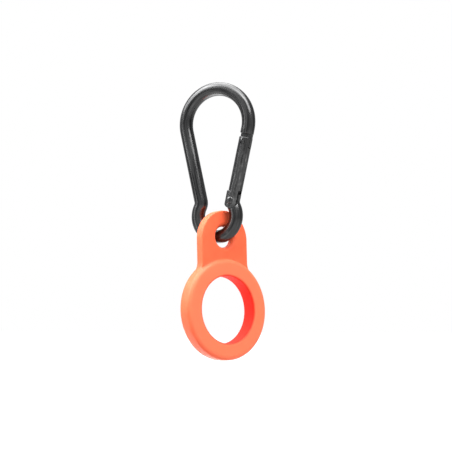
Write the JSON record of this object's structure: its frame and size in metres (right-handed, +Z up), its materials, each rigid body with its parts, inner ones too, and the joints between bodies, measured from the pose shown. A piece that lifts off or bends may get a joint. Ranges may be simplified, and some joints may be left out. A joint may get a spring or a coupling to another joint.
{
  "type": "bottle holder clip",
  "caption": "Pear-shaped spring-gate snap hook whose small round eye carries a swinging moulded silicone bottle-neck ring.",
  "frame": {"origin": "the point the clip hangs from: the inside of the bow at its top, in the rod's middle plane", "axes": "+Z up along the clip; the snap hook lies in the XZ plane with its gate on the +X side"},
  "size_m": [0.0304, 0.035, 0.1028],
  "materials": {
    "gunmetal_plated_steel": "dark nickel plating, polished, with fine drawn marks",
    "spring_steel": "plain drawn wire",
    "coral_silicone": "moulded silicone rubber, satin"
  },
  "bodies": {
    "hook": {"carabiner_body": "gunmetal_plated_steel"},
    "gate": {"gate": "gunmetal_plated_steel", "hinge_rivet": "gunmetal_plated_steel", "latch_pin": "gunmetal_plated_steel", "gate_spring": "spring_steel"},
    "plunger": {"spring_plunger": "spring_steel"},
    "holder": {"silicone_holder": "coral_silicone"}
  },
  "joints": [
    {"name": "gate_hinge", "type": "hinge", "parent": "hook", "child": "gate", "pos_m": [0.00618, 0, -0.03922], "axis": [0, -1, 0], "range_deg": [0, 32], "stiffness_Nm_per_rad": 0.08, "springref_deg": -28.65, "deforming": ["gate_spring"]},
    {"name": "plunger_slide", "type": "slide", "parent": "gate", "child": "plunger", "axis": [0.2198, 0, 0.9755], "range_m": [0, 0.00075]},
    {"name": "holder_swing", "type": "hinge", "parent": "hook", "child": "holder", "pos_m": [0.00193, 0, -0.05225], "axis": [0.9058, -0.4224, 0.0349], "range_deg": [-80, 80]}
  ],
  "couplings": [
    {"joint": "plunger_slide", "follows": "gate_hinge", "m_per_rad": 0.001325}
  ]
}
